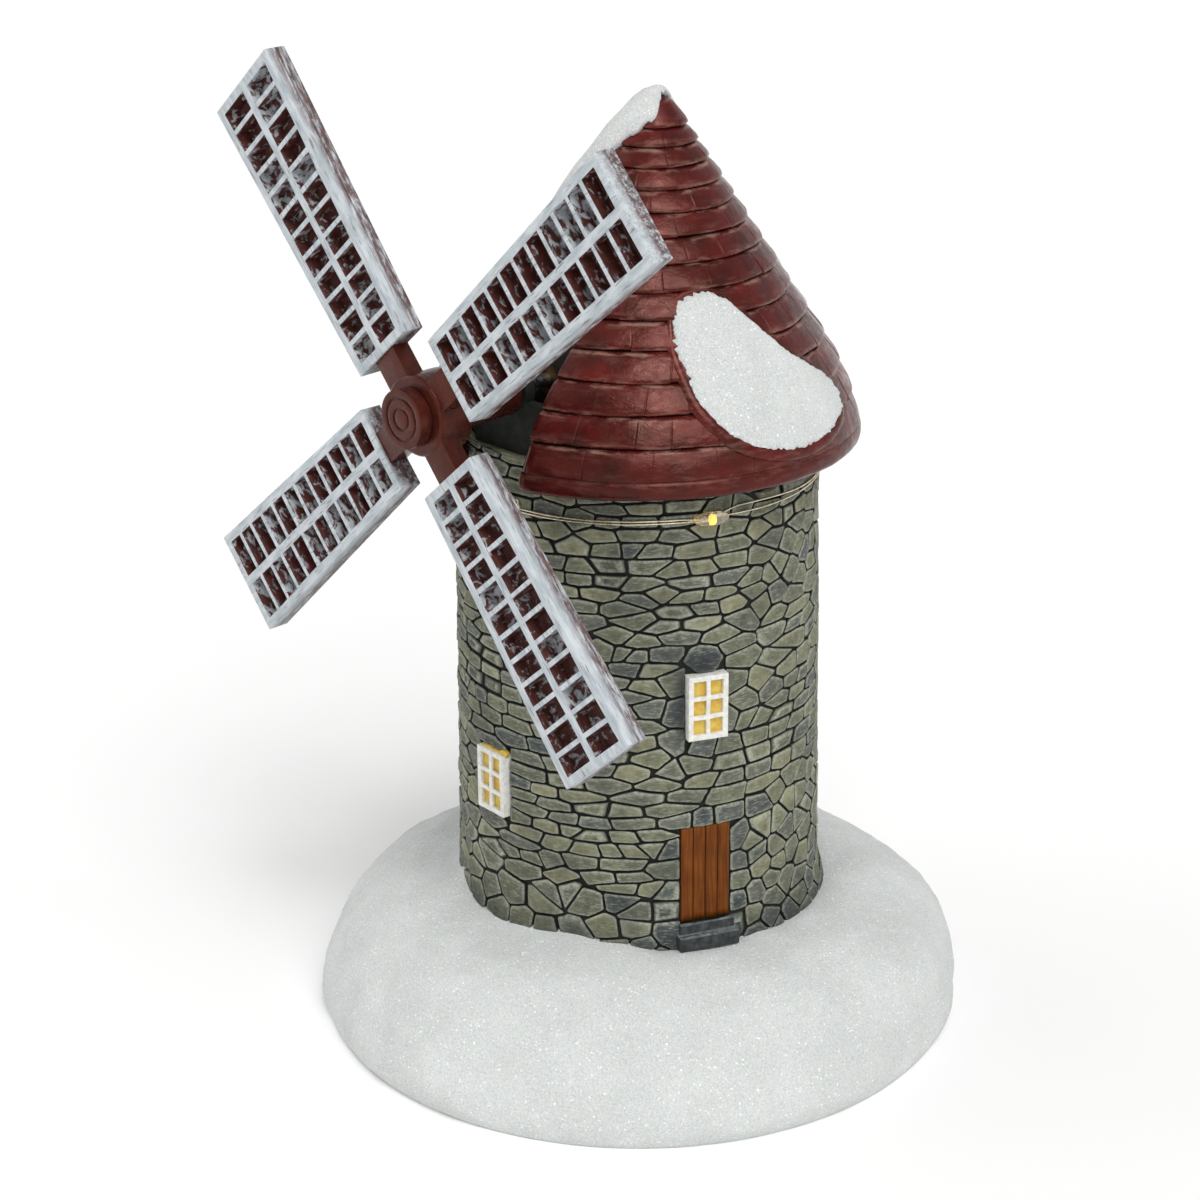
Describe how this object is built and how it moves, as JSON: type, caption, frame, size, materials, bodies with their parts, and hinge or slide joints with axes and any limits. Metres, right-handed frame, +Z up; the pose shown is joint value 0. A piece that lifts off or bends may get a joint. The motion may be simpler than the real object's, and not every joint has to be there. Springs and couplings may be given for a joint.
{
  "type": "souvenir windmill figurine",
  "caption": "Winter windmill ornament with a stone tower on a snow mound, shingled cap, lattice sails turned by a small motor, and a light string under the eave.",
  "frame": {"origin": "centre of the flat underside of the snow base, on the tower's axis", "axes": "+Z up along the tower, sails face -Y, door on the +X side of the sails"},
  "size_m": [0.1486, 0.1486, 0.2226],
  "materials": {
    "snow": "rough glitter-flecked white",
    "stone_wall": "matt dry-brushed stone paint on moulded resin",
    "door_orange": "matt painted planks",
    "stone_step": "matt blue-grey paint",
    "window_white": "matt white paint",
    "window_yellow": "satin yellow",
    "roof_burgundy": "satin burgundy paint",
    "sail_white": "dry-brushed white over red-brown",
    "hub_brown": "glossy red-brown",
    "dark_plastic": "matt grey-green black",
    "black_plastic": "matt black",
    "nylon": "natural nylon",
    "steel": "bright",
    "brass": "satin",
    "battery_skin": "plain dark sleeve",
    "wire_silver": "thin lacquered wire",
    "led_resin": "clear drop over a yellow chip",
    "lead_red": "insulated lead"
  },
  "bodies": {
    "body": {"snow_base": "snow", "base_plate": "black_plastic", "base_screws": "steel", "battery_box": "black_plastic", "battery_cell_front": "battery_skin", "battery_cell_rear": "battery_skin", "battery_contacts": "steel", "switch_body": "black_plastic", "switch_leads": "lead_red", "tower_shell": "stone_wall", "tower_deck": "dark_plastic", "door_panel": "door_orange", "door_steps": "stone_step", "shaft_cradle": "dark_plastic", "front_bush": "brass", "rear_bush": "brass", "deck_screws": "steel", "gearbox_housing": "black_plastic", "gearbox_cover": "black_plastic", "idler_pin": "steel", "motor_body": "steel", "led_wires": "wire_silver", "led_drops": "led_resin", "led_lead": "lead_red", "motor_lead": "lead_red", "window_frame_door_side": "window_white", "window_pane_door_side": "window_yellow", "window_frame_sail_side": "window_white", "window_pane_sail_side": "window_yellow", "roof_cap": "roof_burgundy", "roof_snow_right": "snow", "roof_snow_top": "snow", "roof_snow_back": "snow"},
    "sails": {"windshaft": "steel", "output_gear": "nylon", "shaft_collar": "brass", "hub_cross": "hub_brown", "hub_cap": "hub_brown", "sail_1": "sail_white", "sail_2": "sail_white", "sail_3": "sail_white", "sail_4": "sail_white"},
    "idler": {"idler_gear": "nylon"},
    "motor_rotor": {"motor_shaft": "steel", "motor_pinion": "nylon"},
    "battery_door": {"battery_door": "black_plastic"},
    "switch_slider": {"switch_slider": "dark_plastic"}
  },
  "joints": [
    {"name": "sails_spin", "type": "hinge", "parent": "body", "child": "sails", "pos_m": [0, -0.0631, 0.154], "axis": [0, -1, 0], "continuous": true},
    {"name": "idler_spin", "type": "hinge", "parent": "body", "child": "idler", "pos_m": [0, -0.0196, 0.143], "axis": [0, -1, 0], "continuous": true},
    {"name": "motor_spin", "type": "hinge", "parent": "body", "child": "motor_rotor", "pos_m": [0, -0.018, 0.1335], "axis": [0, -1, 0], "continuous": true},
    {"name": "battery_door_slide", "type": "slide", "parent": "body", "child": "battery_door", "axis": [1, 0, 0], "range_m": [0, 0.013]},
    {"name": "switch_slide", "type": "slide", "parent": "body", "child": "switch_slider", "axis": [1, 0, 0], "range_m": [0, 0.004]}
  ],
  "couplings": [
    {"joint": "idler_spin", "follows": "sails_spin", "ratio": -2.6667},
    {"joint": "motor_spin", "follows": "sails_spin", "ratio": 7.4667}
  ]
}
